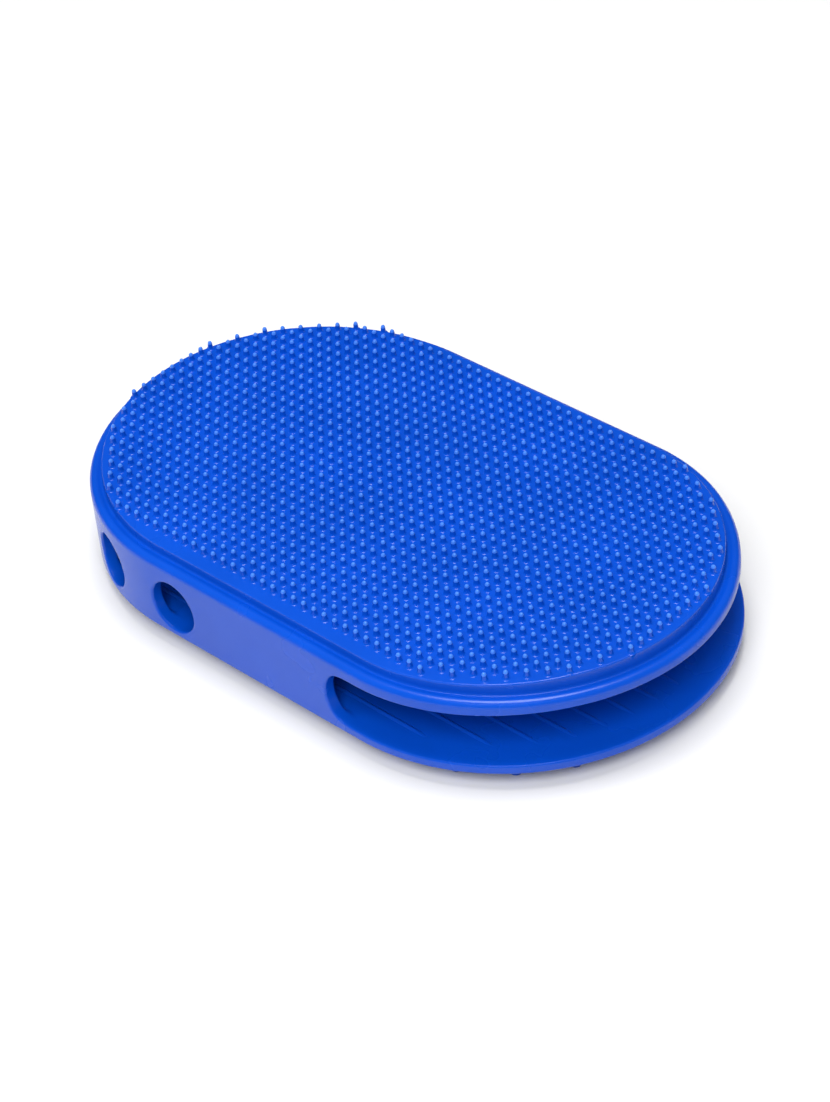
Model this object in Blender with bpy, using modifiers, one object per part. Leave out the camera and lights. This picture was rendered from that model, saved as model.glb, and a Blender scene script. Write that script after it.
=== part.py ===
"""A double-sided silicone curry comb for horses.

The comb is an oval hand pocket. Its upper plate carries a field of fine soft nubs for the face and
legs, its lower plate carries rings of coarse massage nubs, and a wall with four finger holes joins
the two plates round the closed end. At the mouth end the wall stops, and the hand slides in over a
floor with low grip ribs.

+X points out of the mouth, +Z points up through the fine nubs, and the origin is the middle of the
plane that the coarse nubs stand on. All sizes are in metres.
"""

import math

import bmesh
import bpy
from mathutils import Matrix, Vector

# Plan of the comb: straight sides joined by round ends
LENGTH = 0.1600
WIDTH = 0.0988
MOUTH_NOSE = 0.992  # the mouth end's reach along X, as a share of a half circle's
MOUTH_SHOULDER = 0.012  # how far the upper lip's shoulders draw in, as a share of the radius
ARC_STEPS = 28

# Heights, from the coarse nubs' tips upwards
UNDERSIDE_Z = 0.0043
FLOOR_Z = 0.0066
CEILING_Z = 0.0194
CREST_Z = 0.0229
PAD_Z = 0.0263
FINE_TIP_Z = 0.0284

# The crown of the upper face: how far it falls from the middle to its sides and to its ends
CROWN_ACROSS = 0.0013
CROWN_ALONG = 0.0002

# Fine nubs, on a square lattice
FINE_PITCH = 0.00303
FINE_COLUMNS = 50
FINE_ROWS = 29
FINE_REACH = 0.0456  # radius of the outline that holds the nubs' axes
PAD_RADIUS = 0.0461
PAD_UNDERSIDE_Z = 0.0225

# Coarse nubs, in rings that follow the outline
COARSE_SPACING = 0.0122
COARSE_RINGS = 4
COARSE_OUTER_RADIUS = 0.0440
COARSE_RING_STEP = 0.0110
COARSE_BASE_RADIUS = 0.0020
COARSE_TIP_RADIUS = 0.0011
COARSE_SIDES = 6
COARSE_PAD_THICKNESS = 0.0007
COARSE_PAD_INSET = 0.0010

# Rim, wall and openings
RIM_RADIUS = 0.0015
RIM_ARC_STEPS = 6
WALL_THICKNESS = 0.0030
MOUTH_START_X = 0.0220
MOUTH_END_RADIUS = 0.0075
HOLE_RADIUS = 0.0063
BAR_SIDES = 24
HOLE_Z = 0.0122
SIDE_HOLE_X = -0.0247
END_HOLE_ANGLE = math.radians(20.7)  # past the end of the straight side
WALL_SPLIT_ANGLE = math.radians(7.0)

# Grip ribs on the floor of the pocket
RIB_COUNT = 14
RIB_SPACING = 0.0064
RIB_RADIUS = 0.0004
RIB_REACH = 0.0425  # radius of the outline that the ribs end at

GAP = 0.0003  # between pieces that touch
OVERSHOOT = 0.010  # how far a cutter passes the wall
EDGE_ROUNDING = 0.0006

RADIUS = WIDTH / 2
CLOSED_X = -(LENGTH / 2 - RADIUS)  # centre of the closed end's half circle
MOUTH_X = LENGTH / 2 - RADIUS * MOUTH_NOSE  # centre of the mouth end

BLUE = (0.004, 0.080, 0.690, 1.0)
DEEP_BLUE = (0.003, 0.060, 0.560, 1.0)
SOFT_BLUE = (0.010, 0.110, 0.720, 1.0)


def clear_scene():
    for obj in list(bpy.data.objects):
        bpy.data.objects.remove(obj, do_unlink=True)


def new_collection(name):
    collection = bpy.data.collections.new(name)
    bpy.context.scene.collection.children.link(collection)
    return collection


def silicone(name, colour, roughness):
    """A satin silicone rubber."""
    material = bpy.data.materials.new(name)
    material.use_nodes = True
    shader = material.node_tree.nodes["Principled BSDF"]
    shader.inputs["Base Color"].default_value = colour
    shader.inputs["Roughness"].default_value = roughness
    shader.inputs["Metallic"].default_value = 0.0
    material.diffuse_color = colour
    return material


def crown(x, y):
    """How far the crowned upper face lies below its middle."""
    half_length = FINE_PITCH * FINE_COLUMNS / 2
    half_width = FINE_PITCH * (FINE_ROWS + 1) / 2
    return CROWN_ALONG * (x / half_length) ** 2 + CROWN_ACROSS * (y / half_width) ** 2


def outline(inset=0.0, shoulder=MOUTH_SHOULDER):
    """The comb's plan outline, counter-clockwise, `inset` inside its outer edge."""
    radius = RADIUS - inset
    points = []
    for step in range(ARC_STEPS + 1):
        angle = math.pi / 2 + math.pi * step / ARC_STEPS
        points.append((CLOSED_X + radius * math.cos(angle), radius * math.sin(angle)))
    for step in range(ARC_STEPS + 1):
        angle = -math.pi / 2 + math.pi * step / ARC_STEPS
        reach = radius * (1 - shoulder * math.sin(2 * angle) ** 2)
        points.append((MOUTH_X + MOUTH_NOSE * reach * math.cos(angle), reach * math.sin(angle)))
    return points


def stadium(radius, count):
    """`count` points evenly spaced along a true stadium, from the middle of its front side."""
    straight = (MOUTH_X - CLOSED_X) / 2
    perimeter = 4 * straight + 2 * math.pi * radius
    points = []
    for index in range(count):
        along = (index * perimeter / count + straight) % perimeter
        side, rest = divmod(along, perimeter / 2)
        if rest < 2 * straight:
            x, y = rest - straight, -radius
        else:
            angle = (rest - 2 * straight) / radius
            x, y = straight + radius * math.sin(angle), -radius * math.cos(angle)
        turn = -1 if side else 1
        points.append((turn * x, turn * y))
    return points


def radius_at(x, y):
    """The radius of the outline that passes through a point of the plan."""
    if x < MOUTH_X:
        return math.hypot(min(x - CLOSED_X, 0), y)
    along = (x - MOUTH_X) / MOUTH_NOSE
    shoulder = 1 - MOUTH_SHOULDER * math.sin(2 * math.atan2(y, along)) ** 2
    return math.hypot(along, y) / shoulder


def add_object(name, mesh, collection, material=None):
    obj = bpy.data.objects.new(name, mesh)
    collection.objects.link(obj)
    if material:
        mesh.materials.append(material)
        mesh.shade_smooth()
        mesh.set_sharp_from_angle(angle=math.radians(40))
    return obj


def welded_mesh(curve_object, name):
    """The closed mesh of a curve object, whose own object is removed."""
    graph = bpy.context.evaluated_depsgraph_get()
    mesh = bpy.data.meshes.new_from_object(curve_object.evaluated_get(graph))
    mesh.name = name
    mesh.transform(curve_object.matrix_world)
    bpy.data.objects.remove(curve_object, do_unlink=True)
    shape = bmesh.new()
    shape.from_mesh(mesh)
    bmesh.ops.remove_doubles(shape, verts=shape.verts, dist=1e-6)
    shape.to_mesh(mesh)
    shape.free()
    mesh.materials.clear()
    return mesh


def slab(name, outlines, low, high):
    """A flat piece between two heights. A second outline is its hole."""
    curve = bpy.data.curves.new(name, "CURVE")
    curve.dimensions = "2D"
    curve.fill_mode = "BOTH"
    curve.extrude = (high - low) / 2
    for points in outlines:
        spline = curve.splines.new("POLY")
        spline.points.add(len(points) - 1)
        spline.use_cyclic_u = True
        for target, (x, y) in zip(spline.points, points):
            target.co = (x, y, 0, 1)
    flat = bpy.data.objects.new(name, curve)
    flat.location.z = (low + high) / 2
    bpy.context.scene.collection.objects.link(flat)
    bpy.context.view_layer.update()
    return welded_mesh(flat, name)


def swept_ring(name, profile):
    """A ring with a closed (inset, z) cross-section, swept round the comb's outline."""
    shape = bmesh.new()
    loops = []
    for inset, z in profile:
        verts = [shape.verts.new((x, y, z)) for x, y in outline(inset)]
        loops.append([shape.edges.new(pair) for pair in zip(verts, verts[1:] + verts[:1])])
    for loop, following in zip(loops, loops[1:] + loops[:1]):
        bmesh.ops.bridge_loops(shape, edges=loop + following)
    bmesh.ops.recalc_face_normals(shape, faces=shape.faces)
    mesh = bpy.data.meshes.new(name)
    shape.to_mesh(mesh)
    shape.free()
    return mesh


def round_edges(obj, width):
    bevel = obj.modifiers.new("rounded edges", "BEVEL")
    bevel.width = width
    bevel.segments = 2
    bevel.limit_method = "ANGLE"
    bevel.angle_limit = math.radians(60)


def cut(obj, cutter):
    boolean = obj.modifiers.new("cut " + cutter.name, "BOOLEAN")
    boolean.operation = "DIFFERENCE"
    boolean.object = cutter


def as_helper(obj):
    obj.hide_render = True
    obj.display_type = "WIRE"
    return obj


def upper_plate(parts):
    """The pocket's ceiling, under the fine nubs' pad."""
    mesh = slab("upper_plate", [outline(RADIUS - PAD_RADIUS)], CEILING_Z, PAD_UNDERSIDE_Z - GAP)
    add_object("upper_plate", mesh, parts, silicone("upper_plate", BLUE, 0.42))


def upper_rim(parts):
    """The rim round the upper face: a round-topped bead, which is the mouth's upper lip."""
    profile = [(2 * RIM_RADIUS, CEILING_Z), (0, CEILING_Z)]
    for step in range(RIM_ARC_STEPS + 1):
        angle = math.pi * step / RIM_ARC_STEPS
        inset = RIM_RADIUS * (1 - math.cos(angle))
        profile.append((inset, CREST_Z - RIM_RADIUS * (1 - math.sin(angle))))
    add_object("upper_rim", swept_ring("upper_rim", profile), parts, silicone("upper_rim", BLUE, 0.38))


def fine_nub_field(parts):
    """The fine soft nubs on their crowned pad, each nub a small pyramid on its lattice cell."""
    shape = bmesh.new()
    bmesh.ops.create_grid(shape, x_segments=FINE_COLUMNS, y_segments=FINE_ROWS, size=0.5)
    scale = Vector((FINE_PITCH * FINE_COLUMNS, FINE_PITCH * FINE_ROWS, 1))
    bmesh.ops.scale(shape, vec=scale, verts=shape.verts)
    centres = {face: face.calc_center_median() for face in shape.faces}
    outside = [face for face, centre in centres.items() if radius_at(centre.x, centre.y) > FINE_REACH]
    bmesh.ops.delete(shape, geom=outside, context="FACES")
    for vert in {vert for edge in shape.edges if edge.is_boundary for vert in edge.verts}:
        middle = Vector((min(max(vert.co.x, CLOSED_X), MOUTH_X), 0, 0))
        vert.co = middle.lerp(vert.co, PAD_RADIUS / radius_at(vert.co.x, vert.co.y))
    cells = list(shape.faces)
    sides = bmesh.ops.extrude_edge_only(shape, edges=[e for e in shape.edges if e.is_boundary])
    underside = [v for v in sides["geom"] if isinstance(v, bmesh.types.BMVert)]
    bmesh.ops.holes_fill(shape, edges=[e for e in shape.edges if e.is_boundary], sides=0)
    bmesh.ops.poke(shape, faces=cells, offset=FINE_TIP_Z - PAD_Z)
    for vert in shape.verts:
        vert.co.z += PAD_Z - crown(vert.co.x, vert.co.y)
    for vert in underside:
        vert.co.z = PAD_UNDERSIDE_Z
    bmesh.ops.recalc_face_normals(shape, faces=shape.faces)
    mesh = bpy.data.meshes.new("fine_nub_field")
    shape.to_mesh(mesh)
    shape.free()
    obj = add_object("fine_nub_field", mesh, parts, silicone("fine_nubs", BLUE, 0.35))
    obj.data.set_sharp_from_angle(angle=math.radians(20))


def mouth_cutters(cutters):
    """The block that opens the wall at the mouth, and the round bar that shapes the wall's ends."""
    start = MOUTH_START_X + MOUTH_END_RADIUS
    reach = LENGTH / 2 + OVERSHOOT
    across = RADIUS + OVERSHOOT
    corners = [(start, -across), (reach, -across), (reach, across), (start, across)]
    block = slab("mouth", [corners], FLOOR_Z - OVERSHOOT, CEILING_Z + OVERSHOOT)
    centre = (start, 0, (FLOOR_Z + CEILING_Z) / 2)
    bar = round_bar("mouth ends", centre, (0, 1, 0), MOUTH_END_RADIUS, 2 * across, cutters)
    return [as_helper(add_object("mouth", block, cutters)), bar]


def round_bar(name, centre, direction, radius, length, cutters):
    """A round bar with its middle at `centre`, to cut with."""
    shape = bmesh.new()
    bmesh.ops.create_cone(
        shape,
        cap_ends=True,
        segments=BAR_SIDES,
        radius1=radius,
        radius2=radius,
        depth=length,
    )
    turn = Vector(direction).to_track_quat("Z", "Y").to_matrix().to_4x4()
    shape.transform(Matrix.Translation(centre) @ turn)
    mesh = bpy.data.meshes.new(name)
    shape.to_mesh(mesh)
    shape.free()
    return as_helper(add_object(name, mesh, cutters))


def wall_sector(name, points, cutters):
    """A tall prism over one stretch of the plan, which keeps that stretch of the wall."""
    mesh = slab(name, [points], FLOOR_Z - OVERSHOOT, CEILING_Z + OVERSHOOT)
    return as_helper(add_object(name, mesh, cutters))


def wall_piece(name, sector, openings, parts, material):
    """One stretch of the wall between the plates, with its openings cut."""
    rings = [outline(), outline(WALL_THICKNESS)]
    wall = add_object(name, slab(name, rings, FLOOR_Z + GAP, CEILING_Z - GAP), parts, material)
    keep = wall.modifiers.new("keep " + sector.name, "BOOLEAN")
    keep.operation = "INTERSECT"
    keep.object = sector
    for opening in openings:
        cut(wall, opening)


def side_walls(parts, cutters):
    """The wall: a front and a back stretch with one finger hole each, and the closed end with two."""
    material = silicone("side_wall", SOFT_BLUE, 0.45)
    mouth = mouth_cutters(cutters)
    depth = 2 * OVERSHOOT
    far = LENGTH
    split = RADIUS * math.sin(WALL_SPLIT_ANGLE)
    reach = RADIUS * math.cos(WALL_SPLIT_ANGLE)
    end_openings = []
    for side, turn in (("front", -1), ("back", 1)):
        hole_at = (SIDE_HOLE_X, turn * RADIUS, HOLE_Z)
        side_hole = round_bar(side + " hole", hole_at, (0, turn, 0), HOLE_RADIUS, depth, cutters)
        across = (-math.sin(END_HOLE_ANGLE), turn * math.cos(END_HOLE_ANGLE), 0)
        end_at = Vector((CLOSED_X, 0, HOLE_Z)) + RADIUS * Vector(across)
        end_hole = round_bar(side + " end hole", end_at, across, HOLE_RADIUS, depth, cutters)
        end_openings.append(end_hole)
        far_split = (CLOSED_X - 2 * split + GAP / 2, turn * 2 * reach)
        corners = [(CLOSED_X + GAP / 2, 0), (far, 0), (far, turn * 2 * reach), far_split]
        sector = wall_sector(side + " stretch", corners, cutters)
        wall_piece(side + "_wall", sector, [side_hole, *mouth], parts, material)
    corners = [(CLOSED_X - 2 * split - GAP / 2, 2 * reach), (CLOSED_X - GAP / 2, 0)]
    corners += [(CLOSED_X - 2 * split - GAP / 2, -2 * reach), (-far, -2 * reach), (-far, 2 * reach)]
    sector = wall_sector("closed end stretch", corners, cutters)
    wall_piece("closed_end_wall", sector, end_openings, parts, material)


def lower_plate(parts):
    """The pocket's floor, whose edge is the mouth's lower lip."""
    low = UNDERSIDE_Z + COARSE_PAD_THICKNESS + GAP
    mesh = slab("lower_plate", [outline(shoulder=0)], low, FLOOR_Z)
    plate = add_object("lower_plate", mesh, parts, silicone("lower_plate", BLUE, 0.42))
    round_edges(plate, EDGE_ROUNDING)


def coarse_nub_places():
    """The coarse nubs' places: rings that follow the outline, and a row on the middle line."""
    straight = (MOUTH_X - CLOSED_X) / 2
    places = []
    for ring in range(COARSE_RINGS):
        radius = COARSE_OUTER_RADIUS - ring * COARSE_RING_STEP
        perimeter = 4 * straight + 2 * math.pi * radius
        places += stadium(radius, 2 * round(perimeter / COARSE_SPACING / 2))
    each_side = int(straight / COARSE_SPACING)
    places += [(index * COARSE_SPACING, 0) for index in range(-each_side, each_side + 1)]
    return places


def coarse_nub_field(parts, cutters):
    """The coarse massage nubs, standing down from a thin pad under the lower plate."""
    shape = bmesh.new()
    height = UNDERSIDE_Z + COARSE_PAD_THICKNESS / 2
    for x, y in coarse_nub_places():
        bmesh.ops.create_cone(
            shape,
            cap_ends=True,
            segments=COARSE_SIDES,
            radius1=COARSE_TIP_RADIUS,
            radius2=COARSE_BASE_RADIUS,
            depth=height,
            matrix=Matrix.Translation((x, y, height / 2)),
        )
    cones = bpy.data.meshes.new("coarse cones")
    shape.to_mesh(cones)
    shape.free()
    cones = as_helper(add_object("coarse cones", cones, cutters))
    pad_outline = outline(COARSE_PAD_INSET, shoulder=0)
    pad_top = UNDERSIDE_Z + COARSE_PAD_THICKNESS
    mesh = slab("coarse_nub_field", [pad_outline], UNDERSIDE_Z, pad_top)
    field = add_object("coarse_nub_field", mesh, parts, silicone("coarse_nubs", DEEP_BLUE, 0.4))
    union = field.modifiers.new("join the nubs", "BOOLEAN")
    union.operation = "UNION"
    union.object = cones


def grip_ribs(parts):
    """Low round-topped ribs along the floor of the pocket, which stop the hand from sliding."""
    material = silicone("grip_ribs", SOFT_BLUE, 0.45)
    for index in range(RIB_COUNT):
        y = (index - (RIB_COUNT - 1) / 2) * RIB_SPACING
        overhang = math.sqrt(RIB_REACH**2 - y**2) if abs(y) < RIB_REACH else 0
        curve = bpy.data.curves.new("rib path", "CURVE")
        curve.dimensions = "3D"
        curve.bevel_depth = RIB_RADIUS
        curve.bevel_resolution = 1
        curve.use_fill_caps = True
        spline = curve.splines.new("POLY")
        spline.points.add(1)
        spline.points[0].co = (CLOSED_X - overhang, y, 0, 1)
        spline.points[1].co = (MOUTH_X + overhang, y, 0, 1)
        path = bpy.data.objects.new("rib path", curve)
        path.location.z = FLOOR_Z + GAP + RIB_RADIUS
        bpy.context.scene.collection.objects.link(path)
        bpy.context.view_layer.update()
        name = f"grip_rib_{index + 1:02d}"
        add_object(name, welded_mesh(path, name), parts, material)


def main():
    clear_scene()
    parts = new_collection("curry comb")
    cutters = new_collection("cutters")
    upper_plate(parts)
    upper_rim(parts)
    fine_nub_field(parts)
    side_walls(parts, cutters)
    lower_plate(parts)
    coarse_nub_field(parts, cutters)
    grip_ribs(parts)


main()
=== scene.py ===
# The looks of a double-sided silicone curry comb. The comb is one soft moulding, so its plates, rim
# and wall are one continuous skin here, meshed from a distance field. The nubs and ribs stand on it.
# All sizes are in metres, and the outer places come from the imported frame.

import itertools
import math

import bpy
import numpy as np
from mathutils import Matrix, Vector


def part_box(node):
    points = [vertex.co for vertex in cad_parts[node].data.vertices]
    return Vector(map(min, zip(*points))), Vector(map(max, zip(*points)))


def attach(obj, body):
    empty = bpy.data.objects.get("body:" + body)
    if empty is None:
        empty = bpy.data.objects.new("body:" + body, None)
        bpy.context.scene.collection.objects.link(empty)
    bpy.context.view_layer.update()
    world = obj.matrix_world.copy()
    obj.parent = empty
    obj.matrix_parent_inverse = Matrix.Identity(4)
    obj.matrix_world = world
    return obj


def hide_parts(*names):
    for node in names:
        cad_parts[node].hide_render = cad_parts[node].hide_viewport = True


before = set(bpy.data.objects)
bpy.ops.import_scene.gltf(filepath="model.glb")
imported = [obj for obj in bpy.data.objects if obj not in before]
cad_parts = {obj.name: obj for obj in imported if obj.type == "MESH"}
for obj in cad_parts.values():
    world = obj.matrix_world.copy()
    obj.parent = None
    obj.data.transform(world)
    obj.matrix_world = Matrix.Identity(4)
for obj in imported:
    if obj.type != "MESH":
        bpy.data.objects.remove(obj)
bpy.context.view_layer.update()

MM = 0.001


# ---- Places taken from the frame ----

rim_low, rim_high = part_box("upper_rim")
_, floor_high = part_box("lower_plate")
_, nubs_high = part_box("fine_nub_field")

RADIUS = rim_high.y  # half the comb's width
MOUTH_NOSE = 0.992  # the mouth end's reach along X, as a share of a half circle's
MOUTH_SHOULDER = 0.012  # how far the upper lip's shoulders draw in, as a share of the radius
CLOSED_X = rim_low.x + RADIUS  # centre of the closed end's half circle
MOUTH_X = rim_high.x - RADIUS * MOUTH_NOSE  # centre of the mouth end

UNDERSIDE_Z = 4.3 * MM
FLOOR_Z = floor_high.z
CEILING_Z = rim_low.z
MIDDLE_Z = (FLOOR_Z + CEILING_Z) / 2
CREST_Z = rim_high.z
FINE_TIP_Z = nubs_high.z
FINE_HEIGHT = 2.1 * MM
PAD_Z = FINE_TIP_Z - FINE_HEIGHT

# The crown of the upper face: how far it falls from the middle to its sides and to its ends
CROWN_ACROSS = 1.3 * MM
CROWN_ALONG = 0.2 * MM

# The rim's bead, the groove inside it and the pad's rounded edge
RIM_RADIUS = 1.5 * MM
GROOVE_Z = CREST_Z - 1.2 * MM
GROOVE_FILLET = 1.1 * MM
PAD_INSET = 3.2 * MM
PAD_EDGE = 0.3 * MM

# The pocket, its wall and the openings
UNDERSIDE_EDGE = 0.5 * MM
WALL_THICKNESS = 3.0 * MM
WALL_EDGE = 0.7 * MM
POCKET_CORNER = 1.2 * MM
LIP_EDGE = 0.45 * MM
LIP_RISE = 1.0 * MM  # how much the upper lip thins towards the mouth's nose
LIP_RISE_START = 35 * MM
HOLE_RADIUS = 6.3 * MM
HOLE_EDGE = 0.6 * MM
HOLE_Z = 12.2 * MM
SIDE_HOLE_X = -24.7 * MM
END_HOLE_ANGLE = math.radians(20.7)  # past the end of the straight side
HOLE_REACH = 40 * MM  # a finger hole starts this far from the comb's long axis
MOUTH_END_RADIUS = 7.5 * MM
MOUTH_BAR_X = 29.5 * MM  # centre of the round end of the mouth's opening in the wall

# Lattice of the fine nubs
FINE_PITCH = 3.03 * MM
FINE_COLUMNS = 50
FINE_ROWS = 29
FINE_REACH = 45.6 * MM
FINE_SIDES = 8
FINE_LEAN = math.radians(1.2)  # how far a nub leans at random, as a standard deviation
FINE_SEED = 7
PAINTED_HIGHLIGHT_FROM = 1.4 * MM  # a nub is painted lighter above this height, as a painted highlight on its tip

# Rings of coarse nubs
COARSE_SPACING = 12.2 * MM
COARSE_RINGS = 4
COARSE_OUTER_RADIUS = 44.0 * MM
COARSE_RING_STEP = 11.0 * MM
COARSE_SIDES = 24

# Ribs on the pocket's floor
RIB_COUNT = 14
RIB_SPACING = 6.4 * MM
RIB_REACH = 43.6 * MM
RIB_FADE = 6 * MM
RIB_FADE_STEPS = 7
RIB_SINK = 0.02 * MM  # how far a rib's foot lies under the pocket's floor


# ---- The comb's plan ----

def radius_at(x, y, shoulder=MOUTH_SHOULDER):
    """The radius of the outline that passes through each point of the plan."""
    closed = np.hypot(np.minimum(x - CLOSED_X, 0), y)
    along = np.maximum(x - MOUTH_X, 0) / MOUTH_NOSE
    reach = 1 - shoulder * np.sin(2 * np.arctan2(y, along)) ** 2
    return np.where(x < MOUTH_X, closed, np.hypot(along, y) / reach)


def pad_height(x, y):
    """Height of the crowned upper face."""
    half_length = FINE_PITCH * FINE_COLUMNS / 2
    half_width = FINE_PITCH * (FINE_ROWS + 1) / 2
    return PAD_Z - CROWN_ALONG * (x / half_length) ** 2 - CROWN_ACROSS * (y / half_width) ** 2


def ceiling_height(x):
    """Height of the pocket's ceiling, which rises towards the mouth's nose."""
    share = np.clip((x - LIP_RISE_START) / (rim_high.x - LIP_RISE_START), 0, 1)
    return CEILING_Z + LIP_RISE * share**2


def stadium(radius, count):
    """`count` points evenly spaced along a true stadium, from the middle of its front side."""
    straight = (MOUTH_X - CLOSED_X) / 2
    perimeter = 4 * straight + 2 * math.pi * radius
    points = []
    for index in range(count):
        along = (index * perimeter / count + straight) % perimeter
        side, rest = divmod(along, perimeter / 2)
        if rest < 2 * straight:
            x, y = rest - straight, -radius
        else:
            angle = (rest - 2 * straight) / radius
            x, y = straight + radius * math.sin(angle), -radius * math.cos(angle)
        turn = -1 if side else 1
        points.append((turn * x, turn * y))
    return points


# ---- Distance fields ----

def round_max(first, second, radius):
    """The intersection of two fields, with its edge rounded."""
    inside = np.minimum(np.maximum(first, second), -radius)
    return inside + np.hypot(np.maximum(first + radius, 0), np.maximum(second + radius, 0))


def round_min(first, second, radius):
    """The union of two fields, with a fillet between them."""
    return -round_max(-first, -second, radius)


def finger_holes():
    """The centre line of each finger hole, as a point of the plan and a direction outwards."""
    across = Vector((-math.sin(END_HOLE_ANGLE), math.cos(END_HOLE_ANGLE)))
    for turn in (-1, 1):
        yield Vector((SIDE_HOLE_X, 0)), Vector((0, turn))
        yield Vector((CLOSED_X, 0)), Vector((across.x, turn * across.y))


def body_field(points):
    """Signed distance to the comb's skin, nearly: negative inside the silicone."""
    x, y, z = points[..., 0], points[..., 1], points[..., 2]
    inset = RADIUS - np.where(z > MIDDLE_Z, radius_at(x, y), radius_at(x, y, shoulder=0))
    bead = round_max(-inset, z - CREST_Z, RIM_RADIUS)
    bead = round_max(bead, inset - 2 * RIM_RADIUS, RIM_RADIUS)
    pad = round_max(z - pad_height(x, y), PAD_INSET - inset, PAD_EDGE)
    below = np.maximum(RIM_RADIUS - inset, z - GROOVE_Z)
    solid = round_min(round_min(bead, pad, GROOVE_FILLET), below, GROOVE_FILLET)
    solid = round_max(solid, UNDERSIDE_Z - z, UNDERSIDE_EDGE)
    bar = np.hypot(np.minimum(x - MOUTH_BAR_X, 0), z - MIDDLE_Z) - MOUTH_END_RADIUS
    plan = round_min(WALL_THICKNESS - inset, bar, WALL_EDGE)
    ceiling = ceiling_height(x)
    across = np.abs(z - (FLOOR_Z + ceiling) / 2) - (ceiling - FLOOR_Z) / 2
    solid = round_max(solid, -round_max(plan, across, POCKET_CORNER), LIP_EDGE)
    for centre, outward in finger_holes():
        along = (x - centre.x) * outward.x + (y - centre.y) * outward.y
        aside = (x - centre.x) * outward.y - (y - centre.y) * outward.x
        hole = np.maximum(np.hypot(aside, z - HOLE_Z) - HOLE_RADIUS, HOLE_REACH - along)
        solid = round_max(solid, -hole, HOLE_EDGE)
    return solid


def gradient(field, points, step=0.02 * MM):
    """The field's slope at each point, by central differences."""
    slopes = []
    for axis in range(3):
        shift = np.zeros(3)
        shift[axis] = step
        slopes.append((field(points + shift) - field(points - shift)) / (2 * step))
    return np.stack(slopes, axis=-1)


def onto_surface(field, points, rounds=5, furthest=0.3 * MM):
    """Moves each point along the field's slope until it lies on the surface."""
    for _ in range(rounds):
        slope = gradient(field, points)
        size = np.maximum((slope**2).sum(-1), 0.05)
        move = np.clip(field(points) / size, -furthest, furthest)
        points = points - slope * move[:, None]
    return points


# ---- Meshing the body on a grid that follows its outline ----

COARSE_STEP = 1.2 * MM  # round the comb
FINE_STEP = 0.55 * MM  # round the comb, where the mouth's opening ends and at the finger holes
RADIAL_STEP = 0.32 * MM  # across the rim and the wall
HEIGHT_STEP = 0.34 * MM
GRID_EDGE_DEPTH = 5.6 * MM  # how far in from the outline the radial steps stay small
GRID_OUTSIDE = 0.9 * MM  # how far the grid reaches past the outline
GRID_HUB = 1.5 * MM  # radius of the innermost grid points
GRID_INNER_RADII = 14
GRID_BELOW = 0.5 * MM
GRID_ABOVE = 1.0 * MM
OUTLINE_SAMPLES = 4000
MOUTH_FINE_REACH = 7 * MM  # how far round the end of the mouth's opening the columns are close
SIDE_HOLE_MARGIN = 2 * MM
END_HOLE_MARGIN = 3 * MM


def columns_round_the_comb():
    """Distances of the grid's columns along the outline, from the mouth's nose half way round."""
    arc = math.pi / 2 * RADIUS
    straight = MOUTH_X - CLOSED_X
    along = np.linspace(0, 2 * arc + straight, OUTLINE_SAMPLES)
    x_at = MOUTH_X - (along - arc)
    end_hole = arc + straight + END_HOLE_ANGLE * RADIUS
    wall_end = MOUTH_BAR_X - MOUTH_END_RADIUS / 2
    fine = np.abs(x_at - wall_end) < MOUTH_FINE_REACH
    fine |= np.abs(x_at - SIDE_HOLE_X) < HOLE_RADIUS + SIDE_HOLE_MARGIN
    fine |= np.abs(along - end_hole) < HOLE_RADIUS + END_HOLE_MARGIN
    density = np.where(fine, 1 / FINE_STEP, 1 / COARSE_STEP)
    total = np.concatenate([[0], np.cumsum((density[1:] + density[:-1]) / 2 * np.diff(along))])
    return np.interp(np.linspace(0, total[-1], round(total[-1]) + 1), total, along)


def plan_directions():
    """For each column round the comb, the centre it is measured from and its direction outwards."""
    arc = math.pi / 2 * RADIUS
    straight = MOUTH_X - CLOSED_X
    half = columns_round_the_comb()
    centre_x = np.clip(MOUTH_X - (half - arc), CLOSED_X, MOUTH_X)
    angle = np.minimum(half, arc) / RADIUS + np.maximum(half - arc - straight, 0) / RADIUS
    outward_x = np.cos(angle) * np.where(half < arc, MOUTH_NOSE, 1)
    outward_y = np.sin(angle)
    centre_x = np.concatenate([centre_x, centre_x[-2:0:-1]])
    outward_x = np.concatenate([outward_x, outward_x[-2:0:-1]])
    outward_y = np.concatenate([outward_y, -outward_y[-2:0:-1]])
    return centre_x, outward_x, outward_y


def body_grid():
    """Grid points round the comb, outwards and upwards, as an array of (column, radius, height)."""
    centre_x, outward_x, outward_y = plan_directions()
    edge = np.arange(RADIUS - GRID_EDGE_DEPTH, RADIUS + GRID_OUTSIDE, RADIAL_STEP)
    inner = np.linspace(GRID_HUB, edge[0], GRID_INNER_RADII)[:-1]
    radii = np.concatenate([inner, edge])
    heights = np.arange(UNDERSIDE_Z - GRID_BELOW, PAD_Z + GRID_ABOVE, HEIGHT_STEP)
    x = centre_x[:, None] + outward_x[:, None] * radii
    y = outward_y[:, None] * radii
    shape = (*x.shape, len(heights))
    spread = [np.broadcast_to(x[..., None], shape), np.broadcast_to(y[..., None], shape)]
    return np.stack([*spread, np.broadcast_to(heights, shape)], axis=-1)


def corner_of_cells(grid, corner):
    """The grid's values at one corner of every cell. The columns close round the comb."""
    rolled = np.roll(grid, -corner[0], axis=0)
    rows, layers = grid.shape[1] - 1, grid.shape[2] - 1
    return rolled[:, corner[1] : corner[1] + rows, corner[2] : corner[2] + layers]


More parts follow.
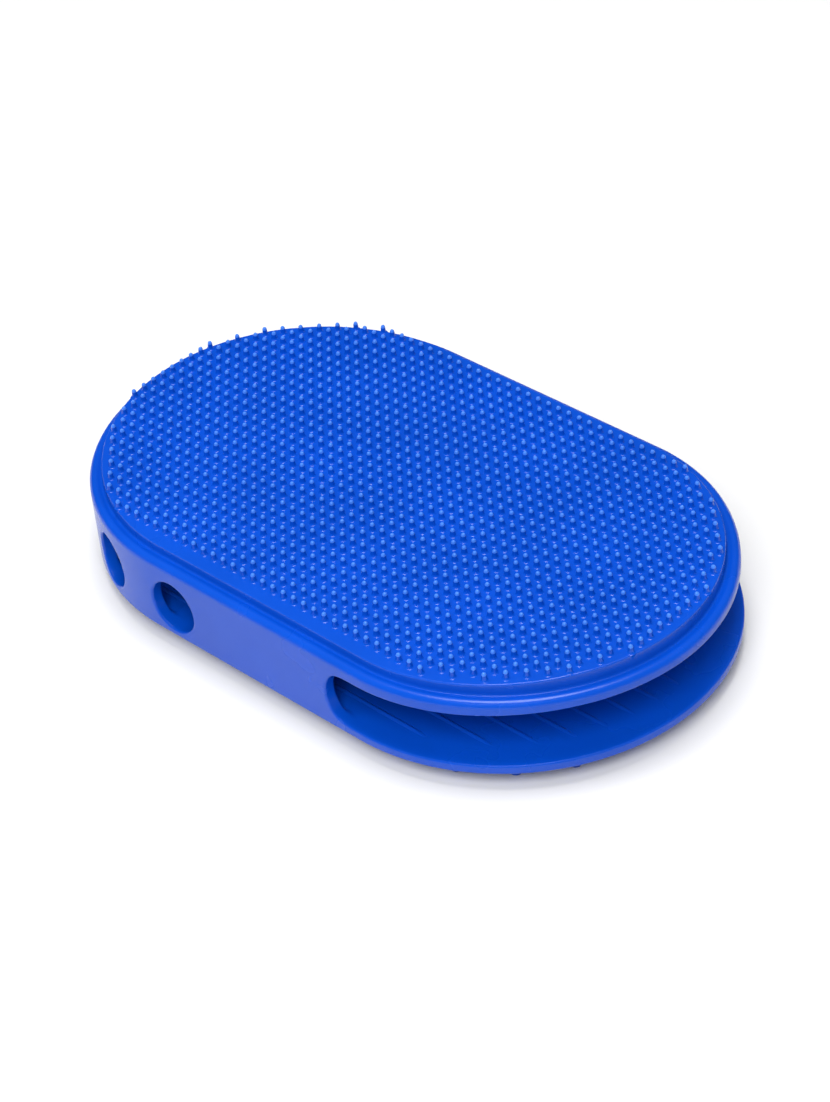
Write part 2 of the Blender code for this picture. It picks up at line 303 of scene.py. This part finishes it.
def cell_vertices(grid, values):
    """One vertex in each cell that the surface crosses, and the number of each cell's vertex."""
    rows, layers = grid.shape[1] - 1, grid.shape[2] - 1
    total = np.zeros((grid.shape[0], rows, layers, 3))
    crossings = np.zeros((grid.shape[0], rows, layers))
    for low in itertools.product((0, 1), repeat=3):
        for axis in range(3):
            if low[axis]:
                continue
            high = tuple(1 if other == axis else at for other, at in enumerate(low))
            value_low, value_high = corner_of_cells(values, low), corner_of_cells(values, high)
            crossed = (value_low < 0) != (value_high < 0)
            share = np.where(crossed, value_low / np.where(crossed, value_low - value_high, 1), 0)
            place = corner_of_cells(grid, low)
            place = place + (corner_of_cells(grid, high) - place) * share[..., None]
            total += np.where(crossed[..., None], place, 0)
            crossings += crossed
    used = crossings > 0
    numbers = np.full(used.shape, -1)
    numbers[used] = np.arange(used.sum())
    return total[used] / crossings[used][:, None], numbers


def cell_quads(values, numbers):
    """A quad round each grid edge that the surface crosses, from the vertices of its four cells."""
    inside = values < 0
    before = np.roll(numbers, 1, axis=0)
    crossed_round = (inside != np.roll(inside, -1, axis=0))[:, 1:-1, 1:-1]
    ring_round = (
        numbers[:, :-1, :-1],
        numbers[:, 1:, :-1],
        numbers[:, 1:, 1:],
        numbers[:, :-1, 1:],
    )
    crossed_out = (inside[:, :-1] != inside[:, 1:])[:, :, 1:-1]
    ring_out = (before[:, :, :-1], numbers[:, :, :-1], numbers[:, :, 1:], before[:, :, 1:])
    crossed_up = (inside[:, :, :-1] != inside[:, :, 1:])[:, 1:-1]
    ring_up = (before[:, :-1], numbers[:, :-1], numbers[:, 1:], before[:, 1:])
    edges = ((crossed_round, ring_round), (crossed_out, ring_out), (crossed_up, ring_up))
    quads = []
    for crossed, ring in edges:
        quads.append(np.stack([cell[crossed] for cell in ring], axis=-1))
    return np.concatenate(quads)


def middle_quads(numbers):
    """Quads that close each surface over the comb's long axis, between mirrored columns."""
    loops = np.array([column[column >= 0] for column in numbers[:, 0]]).T
    columns = loops.shape[1]
    quads = []
    for loop in loops:
        for column in range(columns // 2 - 1):
            mirrored = columns - 1 - column
            quads.append((loop[column], loop[column + 1], loop[mirrored - 1], loop[mirrored]))
    return np.array(quads)


def outward_faces(points, faces, normals):
    """Turns each quad so that it faces out of the silicone."""
    diagonals = points[faces[:, 2]] - points[faces[:, 0]], points[faces[:, 3]] - points[faces[:, 1]]
    facing = (np.cross(*diagonals) * normals[faces].mean(axis=1)).sum(-1)
    return np.where(facing[:, None] < 0, faces[:, ::-1], faces)


def make_object(name, points, faces, material, normals=None):
    mesh = bpy.data.meshes.new(name)
    mesh.from_pydata(np.asarray(points).tolist(), [], [list(face) for face in faces])
    mesh.validate()
    mesh.shade_smooth()
    if normals is not None:
        mesh.normals_split_custom_set_from_vertices(normals.tolist())
    mesh.materials.append(material)
    obj = bpy.data.objects.new(name, mesh)
    bpy.context.scene.collection.objects.link(obj)
    return obj


def body(material):
    """The plates, the rim and the wall, as one skin."""
    grid = body_grid()
    values = body_field(grid)
    points, numbers = cell_vertices(grid, values)
    faces = np.concatenate([cell_quads(values, numbers), middle_quads(numbers)])
    points = onto_surface(body_field, points)
    normals = gradient(body_field, points)
    normals /= np.linalg.norm(normals, axis=-1, keepdims=True)
    faces = outward_faces(points, faces, normals)
    piece = make_object("comb_body", points, faces.tolist(), material, normals)
    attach(piece, "root")
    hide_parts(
        "upper_plate",
        "upper_rim",
        "front_wall",
        "back_wall",
        "closed_end_wall",
        "lower_plate",
    )


# ---- Nubs and ribs ----

def turned(profile, sides):
    """A closed turned solid about Z from (radius, height) steps that start and end off the axis."""
    angles = 2 * math.pi * np.arange(sides) / sides
    ring = np.stack([np.cos(angles), np.sin(angles)], axis=-1)
    points = [np.column_stack([ring * radius, np.full(sides, z)]) for radius, z in profile]
    faces = []
    for level in range(len(profile) - 1):
        for side in range(sides):
            following = (side + 1) % sides
            low, high = level * sides, (level + 1) * sides
            faces.append((low + side, low + following, high + following, high + side))
    faces.append(tuple(range(sides))[::-1])
    faces.append(tuple(range((len(profile) - 1) * sides, len(profile) * sides)))
    return np.concatenate(points), faces


def repeated(places, points, faces):
    """Copies a small solid to each place. Returns the joined points and faces."""
    joined = (np.asarray(places)[:, None, :] + points[None]).reshape(-1, 3)
    all_faces = []
    for index in range(len(places)):
        first = len(points) * index
        all_faces += [tuple(vertex + first for vertex in face) for face in faces]
    return joined, all_faces


FINE_PROFILE = [
    (0.7, -1.6), (1.1, -0.04), (0.91, 0.04), (0.74, 0.22), (0.61, 0.62), (0.54, 1.45), (0.46, 1.84),
    (0.30, 2.03), (0.10, 2.10),
]  # radius and height, in millimetres
FINE_TILTS = [0, 84, 66, 40, 12, 6, 24, 54, 80]  # how far each step faces upwards, in degrees


def fine_nubs(material, painted_highlight_material):
    """The fine soft nubs on a square lattice, each flaring into the pad at its foot."""
    columns = (np.arange(FINE_COLUMNS) - (FINE_COLUMNS - 1) / 2) * FINE_PITCH
    rows = (np.arange(FINE_ROWS) - (FINE_ROWS - 1) / 2) * FINE_PITCH
    x, y = np.meshgrid(columns, rows)
    kept = radius_at(x, y) < FINE_REACH
    x, y = x[kept], y[kept]
    points, faces = turned([(r * MM, z * MM) for r, z in FINE_PROFILE], FINE_SIDES)
    joined, all_faces = repeated(np.stack([x, y, np.zeros(len(x))], axis=-1), points, faces)
    # Faces above this height get the lighter blue of the painted highlight on each tip.
    is_painted_highlight = [min(points[vertex, 2] for vertex in face) > PAINTED_HIGHLIGHT_FROM for face in faces]
    chance = np.random.default_rng(FINE_SEED)
    lean = np.repeat(chance.normal(0, FINE_LEAN, (len(x), 2)), len(points), axis=0)
    joined[:, :2] += lean * np.maximum(joined[:, 2:], 0)
    joined[:, 2] += np.repeat(pad_height(x, y), len(points))
    directions = points[:, :2] / np.hypot(points[:, :1], points[:, 1:2])
    around = np.column_stack([directions, np.zeros(len(points))])
    tilts = np.radians(np.repeat(FINE_TILTS, FINE_SIDES))[:, None]
    normals = around * np.cos(tilts) + np.array([0, 0, 1]) * np.sin(tilts)
    all_normals = np.tile(normals, (len(x), 1))
    piece = make_object("fine_nubs", joined, all_faces, material, all_normals)
    piece.data.materials.append(painted_highlight_material)
    piece.data.polygons.foreach_set("material_index", np.tile(is_painted_highlight, len(x)).astype(np.int32))
    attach(piece, "root")
    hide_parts("fine_nub_field")


COARSE_PROFILE = [
    (0.6, 0.0), (0.95, 0.07), (1.25, 0.3), (1.42, 0.7), (1.5, 1.2), (1.75, 2.4), (2.0, 3.5),
    (2.15, 3.95), (2.45, 4.22), (2.9, 4.32),
]  # radius and height, in millimetres


def coarse_nubs(material):
    """The coarse massage nubs of the lower face, in rings and on a row along the middle."""
    straight = (MOUTH_X - CLOSED_X) / 2
    places = []
    for ring in range(COARSE_RINGS):
        radius = COARSE_OUTER_RADIUS - ring * COARSE_RING_STEP
        perimeter = 4 * straight + 2 * math.pi * radius
        places += stadium(radius, 2 * round(perimeter / COARSE_SPACING / 2))
    each_side = int(straight / COARSE_SPACING)
    places += [(index * COARSE_SPACING, 0) for index in range(-each_side, each_side + 1)]
    points, faces = turned([(r * MM, z * MM) for r, z in COARSE_PROFILE], COARSE_SIDES)
    joined, all_faces = repeated([(x, y, 0) for x, y in places], points, faces)
    piece = make_object("coarse_nubs", joined, all_faces, material)
    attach(piece, "root")
    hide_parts("coarse_nub_field")


RIB_SECTION = [
    (-0.85, -0.05), (-0.5, 0.05), (-0.25, 0.20), (0.0, 0.32), (0.25, 0.20), (0.5, 0.05),
    (0.85, -0.05),
]  # across and height, in millimetres


def grip_ribs(material):
    """Low ribs along the floor of the pocket, each with softly blended flanks and faded ends."""
    steps = np.linspace(0, 1, RIB_FADE_STEPS)
    sizes = np.sin(steps * math.pi / 2) ** 2
    for index in range(RIB_COUNT):
        y = (index - (RIB_COUNT - 1) / 2) * RIB_SPACING
        overhang = math.sqrt(RIB_REACH**2 - y**2) if abs(y) < RIB_REACH else 0
        start, end = CLOSED_X - overhang, MOUTH_X + overhang
        stations = [(start + RIB_FADE * step, size) for step, size in zip(steps, sizes)]
        stations += [(end - RIB_FADE * step, size) for step, size in zip(steps[::-1], sizes[::-1])]
        points, faces = [], []
        for x, size in stations:
            for across, z in RIB_SECTION:
                points.append((x, y + across * MM, FLOOR_Z + z * MM * size - RIB_SINK))
        width = len(RIB_SECTION)
        for station in range(len(stations) - 1):
            for side in range(width):
                following = (side + 1) % width
                low, high = station * width, (station + 1) * width
                faces.append((low + side, high + side, high + following, low + following))
        faces.append(tuple(range(width)))
        faces.append(tuple(range(len(points) - width, len(points)))[::-1])
        piece = make_object(f"floor_rib_{index + 1:02d}", points, faces, material)
        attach(piece, "root")
        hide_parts(f"grip_rib_{index + 1:02d}")


# ---- Materials ----

CLOUD_SCALE = 45
CLOUD_DETAIL = 3
CLOUD_DARKER = 0.93
CLOUD_LIGHTER = 1.06
GLOSS_CHANGE = 0.02
GRAIN_SCALE = 2600
GRAIN_DETAIL = 2
GRAIN_DEPTH = 0.02 * MM
SILICONE_IOR = 1.41
BLUE = (0.0008, 0.057, 0.44)
# Lighter blue painted on the fine nubs' tips as a painted highlight, not a colour the silicone has.
PAINTED_TIP_HIGHLIGHT_BLUE = (0.045, 0.17, 0.64)


def silicone(name, colour, roughness, grain):
    """Satin moulded silicone: faint cloudy colour, fine mould grain and a slightly uneven gloss."""
    material = bpy.data.materials.new(name)
    material.use_nodes = True
    nodes, links = material.node_tree.nodes, material.node_tree.links
    shader = nodes["Principled BSDF"]
    where = nodes.new("ShaderNodeTexCoord")
    clouds = nodes.new("ShaderNodeTexNoise")
    clouds.inputs["Scale"].default_value = CLOUD_SCALE
    clouds.inputs["Detail"].default_value = CLOUD_DETAIL
    links.new(where.outputs["Object"], clouds.inputs["Vector"])
    tint = nodes.new("ShaderNodeValToRGB")
    darker, lighter = tint.color_ramp.elements
    darker.position, lighter.position = 0.3, 0.7
    darker.color = (*[channel * CLOUD_DARKER for channel in colour], 1)
    lighter.color = (*[channel * CLOUD_LIGHTER for channel in colour], 1)
    links.new(clouds.outputs["Fac"], tint.inputs["Fac"])
    links.new(tint.outputs["Color"], shader.inputs["Base Color"])
    fine = nodes.new("ShaderNodeTexNoise")
    fine.inputs["Scale"].default_value = GRAIN_SCALE
    fine.inputs["Detail"].default_value = GRAIN_DETAIL
    links.new(where.outputs["Object"], fine.inputs["Vector"])
    gloss = nodes.new("ShaderNodeMapRange")
    gloss.inputs["To Min"].default_value = roughness - GLOSS_CHANGE
    gloss.inputs["To Max"].default_value = roughness + GLOSS_CHANGE
    links.new(clouds.outputs["Fac"], gloss.inputs["Value"])
    links.new(gloss.outputs["Result"], shader.inputs["Roughness"])
    bump = nodes.new("ShaderNodeBump")
    bump.inputs["Strength"].default_value = grain
    bump.inputs["Distance"].default_value = GRAIN_DEPTH
    links.new(fine.outputs["Fac"], bump.inputs["Height"])
    links.new(bump.outputs["Normal"], shader.inputs["Normal"])
    shader.inputs["IOR"].default_value = SILICONE_IOR
    return material


# ---- Floor, light and camera ----

SURROUNDINGS_STRENGTH = 0.38
FLOOR_HALF_SIDE = 6
FLOOR_GREY = 0.66
FLOOR_ROUGHNESS = 0.9
LAMP_SIZE = 0.9
CAMERA_AZIMUTH = math.radians(46.49)  # from the front towards the mouth
CAMERA_ELEVATION = math.radians(38.02)
CAMERA_ROLL = math.radians(5.6)
CAMERA_AIM = Vector((0.0043, -0.0030, 0.0128))
CAMERA_DISTANCE = 0.6710
CAMERA_LENS = 99.7
CAMERA_SENSOR = 36


def studio():
    """A pale floor, an overhead lamp, and two lamps and surroundings that light only the colour."""
    bpy.context.scene.view_settings.view_transform = "Standard"
    world = bpy.data.worlds.new("studio")
    world.use_nodes = True
    world.node_tree.nodes["Background"].inputs["Color"].default_value = (1, 1, 1, 1)
    world.node_tree.nodes["Background"].inputs["Strength"].default_value = SURROUNDINGS_STRENGTH
    bpy.context.scene.world = world
    world.cycles_visibility.glossy = False
    mesh = bpy.data.meshes.new("floor")
    side = FLOOR_HALF_SIDE
    corners = [(-side, -side, 0), (side, -side, 0), (side, side, 0), (-side, side, 0)]
    mesh.from_pydata(corners, [], [(0, 1, 2, 3)])
    material = bpy.data.materials.new("floor")
    material.use_nodes = True
    shader = material.node_tree.nodes["Principled BSDF"]
    shader.inputs["Base Color"].default_value = (FLOOR_GREY, FLOOR_GREY, FLOOR_GREY, 1)
    shader.inputs["Roughness"].default_value = FLOOR_ROUGHNESS
    mesh.materials.append(material)
    floor = bpy.data.objects.new("floor", mesh)
    bpy.context.scene.collection.objects.link(floor)
    soft_light("top", (-0.1, 0.1, 1.9), 24)
    soft_light("key", (0.62, -0.76, 1.13), 21, glossy=False)
    soft_light("fill", (-1.1, -1.1, 0.75), 8, glossy=False)


def soft_light(name, place, power, glossy=True):
    """A round soft box that faces the comb, and shines on its gloss or only on its colour."""
    lamp = bpy.data.lights.new(name, "AREA")
    lamp.shape = "DISK"
    lamp.size = LAMP_SIZE
    lamp.energy = power
    light = bpy.data.objects.new(name, lamp)
    light.visible_glossy = glossy
    light.location = place
    light.rotation_euler = (-Vector(place)).to_track_quat("-Z", "Y").to_euler()
    bpy.context.scene.collection.objects.link(light)


def camera():
    """Three quarters from above, over the corner between the front and the mouth."""
    across = math.cos(CAMERA_ELEVATION)
    back_x = math.sin(CAMERA_AZIMUTH) * across
    back_y = -math.cos(CAMERA_AZIMUTH) * across
    back = Vector((back_x, back_y, math.sin(CAMERA_ELEVATION)))
    data = bpy.data.cameras.new("camera")
    data.lens = CAMERA_LENS
    data.sensor_width = CAMERA_SENSOR
    obj = bpy.data.objects.new("camera", data)
    level = (-back).to_track_quat("-Z", "Y").to_matrix()
    rolled = level @ Matrix.Rotation(-CAMERA_ROLL, 3, "Z")
    obj.matrix_world = Matrix.Translation(CAMERA_AIM + back * CAMERA_DISTANCE) @ rolled.to_4x4()
    bpy.context.scene.collection.objects.link(obj)
    bpy.context.scene.camera = obj


camera()
body(silicone("body silicone", BLUE, 0.27, 0.5))
fine_nubs(
    silicone("fine nub silicone", BLUE, 0.24, 0.2),
    # The second material paints a highlight on the nubs' tips.
    silicone("fine nub painted tip highlight", PAINTED_TIP_HIGHLIGHT_BLUE, 0.3, 0.2),
)
coarse_nubs(silicone("coarse nub silicone", BLUE, 0.42, 0.3))
grip_ribs(silicone("grip rib silicone", BLUE, 0.45, 0.3))
studio()
